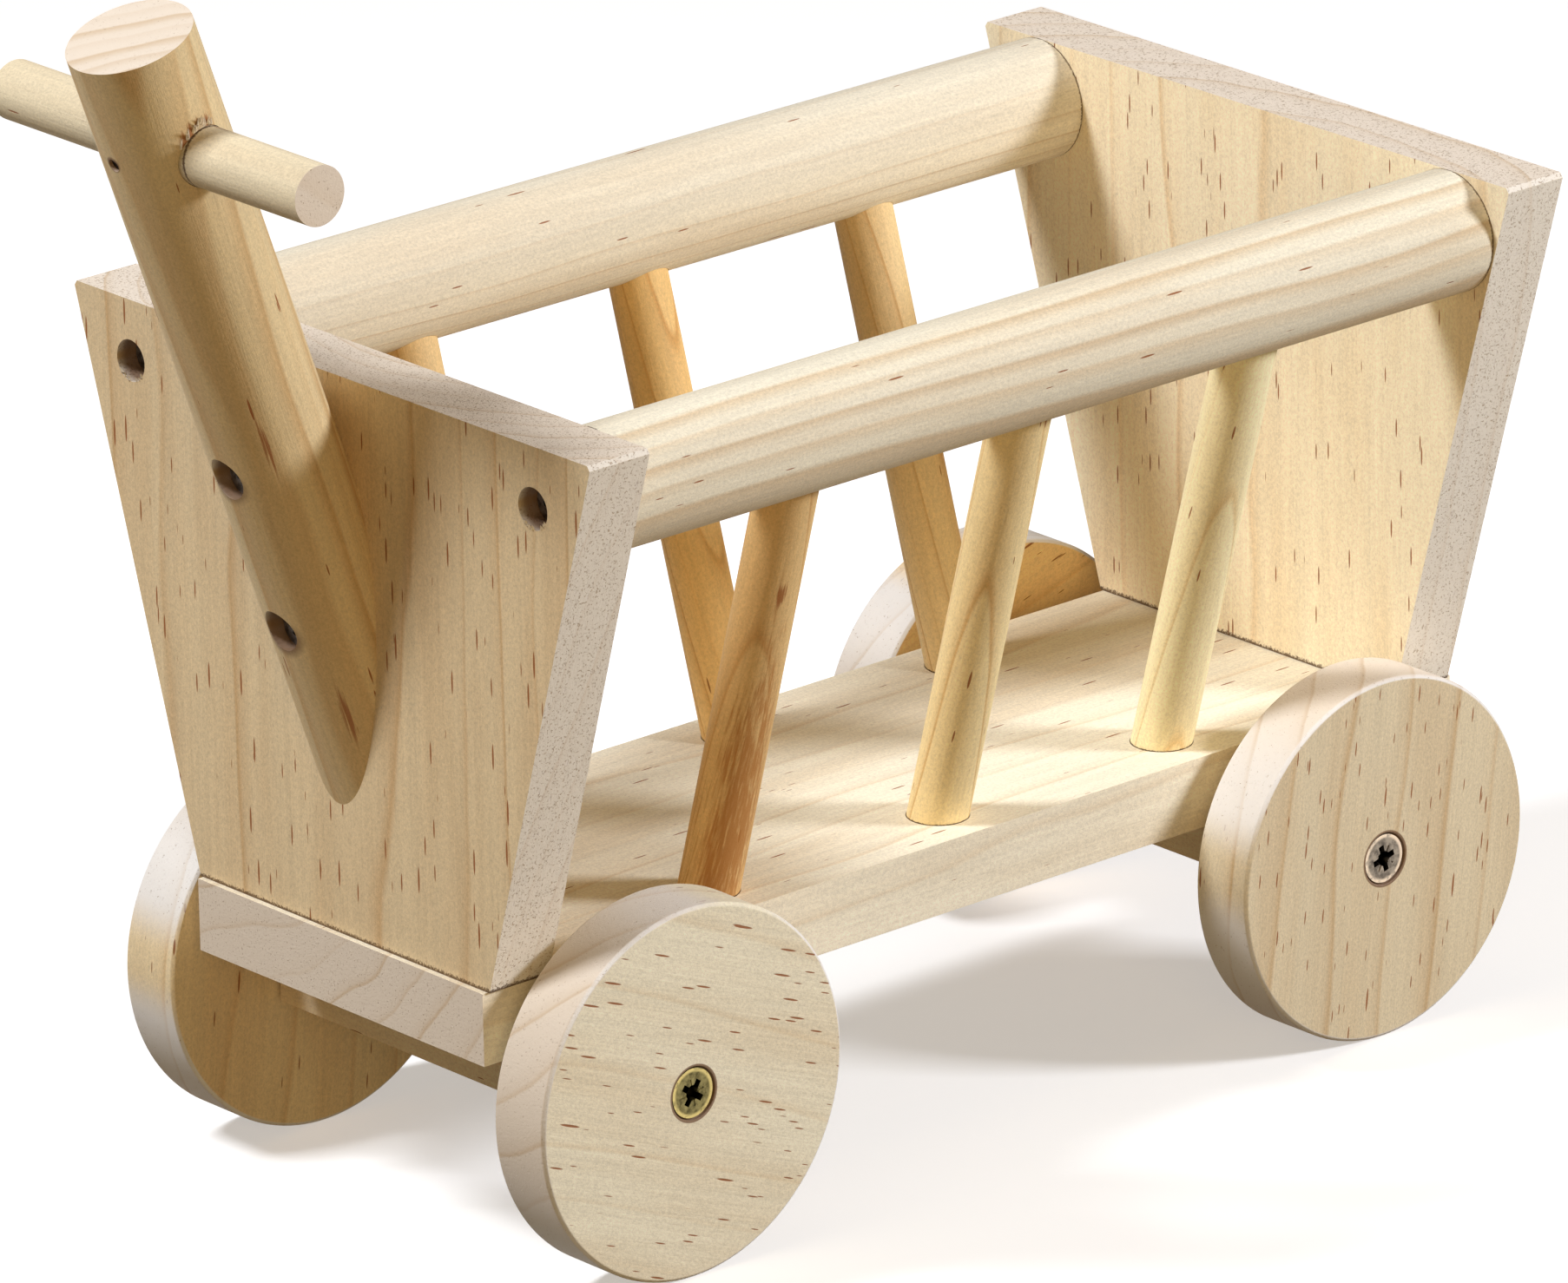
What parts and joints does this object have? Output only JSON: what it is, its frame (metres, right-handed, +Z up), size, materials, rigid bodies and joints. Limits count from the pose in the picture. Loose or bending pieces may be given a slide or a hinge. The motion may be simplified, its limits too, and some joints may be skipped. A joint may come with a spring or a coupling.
{
  "type": "slatted hay cart",
  "caption": "Small pine hay-rack cart: floor with flared end boards, slatted sides under round rails, a leaning drawbar with crossbar, and disc wheels that roll freely.",
  "frame": {"origin": "on the ground, under the middle of the cart's overall length and width", "axes": "+X from the drawbar end to the rear, +Z up, so the cart's left side is -Y"},
  "size_m": [0.246, 0.1216, 0.2037],
  "materials": {
    "pine": "raw sanded pine, long grain",
    "pine_pale": "raw pale pine, sawn and sanded",
    "pine_red": "raw pine dowel, darker heartwood",
    "zinc": "yellow zinc plating, slightly dull",
    "steel": "bright zinc plating"
  },
  "bodies": {
    "chassis": {"floor_board": "pine", "front_board": "pine_pale", "rear_board": "pine_pale", "rail_left": "pine", "rail_right": "pine", "slat_left_front": "pine_red", "slat_left_middle": "pine", "slat_left_rear": "pine", "slat_right_front": "pine", "slat_right_middle": "pine", "slat_right_rear": "pine", "front_batten": "pine", "rear_batten": "pine", "drawbar": "pine", "crossbar": "pine_pale", "crossbar_brad": "steel", "wheel_screw_front_left": "zinc", "wheel_screw_front_right": "zinc", "wheel_screw_rear_left": "zinc", "wheel_screw_rear_right": "zinc", "drawbar_screws": "steel", "front_rail_screws": "steel", "rear_rail_screws": "steel", "front_board_screws": "steel", "rear_board_screws": "steel", "batten_screws": "steel"},
    "wheel_front_left": {"wheel_front_left": "pine_pale"},
    "wheel_front_right": {"wheel_front_right": "pine_pale"},
    "wheel_rear_left": {"wheel_rear_left": "pine_pale"},
    "wheel_rear_right": {"wheel_rear_right": "pine_pale"}
  },
  "joints": [
    {"name": "wheel_front_left_spin", "type": "hinge", "parent": "chassis", "child": "wheel_front_left", "pos_m": [-0.05133, -0.0443, 0.03], "axis": [0, 1, 0], "continuous": true},
    {"name": "wheel_front_right_spin", "type": "hinge", "parent": "chassis", "child": "wheel_front_right", "pos_m": [-0.05133, 0.0443, 0.03], "axis": [0, 1, 0], "continuous": true},
    {"name": "wheel_rear_left_spin", "type": "hinge", "parent": "chassis", "child": "wheel_rear_left", "pos_m": [0.09297, -0.0443, 0.03], "axis": [0, 1, 0], "continuous": true},
    {"name": "wheel_rear_right_spin", "type": "hinge", "parent": "chassis", "child": "wheel_rear_right", "pos_m": [0.09297, 0.0443, 0.03], "axis": [0, 1, 0], "continuous": true}
  ]
}
